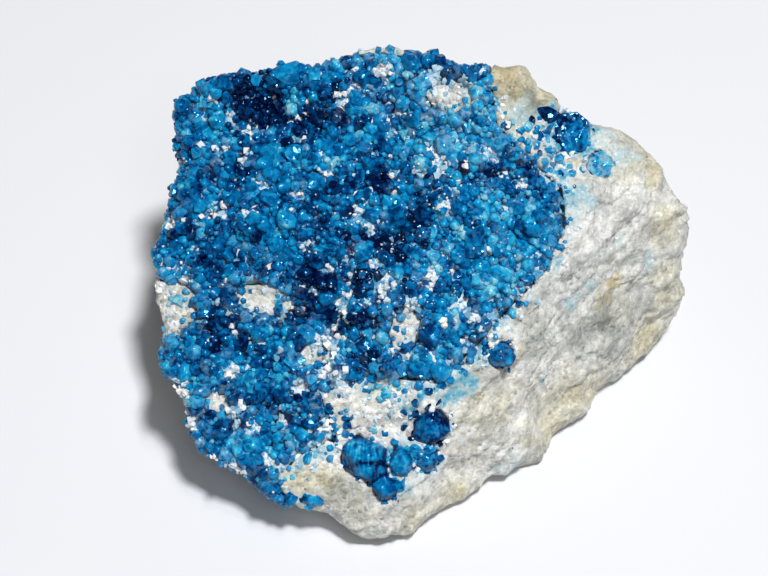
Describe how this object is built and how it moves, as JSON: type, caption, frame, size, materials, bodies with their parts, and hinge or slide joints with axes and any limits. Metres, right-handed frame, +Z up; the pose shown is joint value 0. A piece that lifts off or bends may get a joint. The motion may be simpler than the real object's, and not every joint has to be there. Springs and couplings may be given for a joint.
{
  "type": "afghanite crystals on marble",
  "caption": "Broken lump of white marble whose sloping upper face is crusted with intergrown blue crystals, with a few larger blue crystals standing apart in the white rock.",
  "frame": {"origin": "on the surface the specimen rests on, below the middle of its box", "axes": "+X along the specimen towards its layered white end, +Y away from the front toe, +Z up; the crusted face slopes up and towards -Y"},
  "size_m": [0.0475, 0.0411, 0.0275],
  "materials": {
    "white_marble": "broken sugary white to cream marble, matte with small glints",
    "blue_afghanite": "glassy, translucent deep blue to teal crystals"
  },
  "bodies": {
    "root": {"matrix": "white_marble", "afghanite_crust": "blue_afghanite", "striated_crystal": "blue_afghanite", "striated_crystal_side": "blue_afghanite", "navy_crystal": "blue_afghanite", "teal_crystal": "blue_afghanite", "teal_crystal_toe": "blue_afghanite", "teal_crystal_wall": "blue_afghanite", "shoulder_crystal": "blue_afghanite", "shoulder_crystal_pale": "blue_afghanite"}
  },
  "joints": []
}
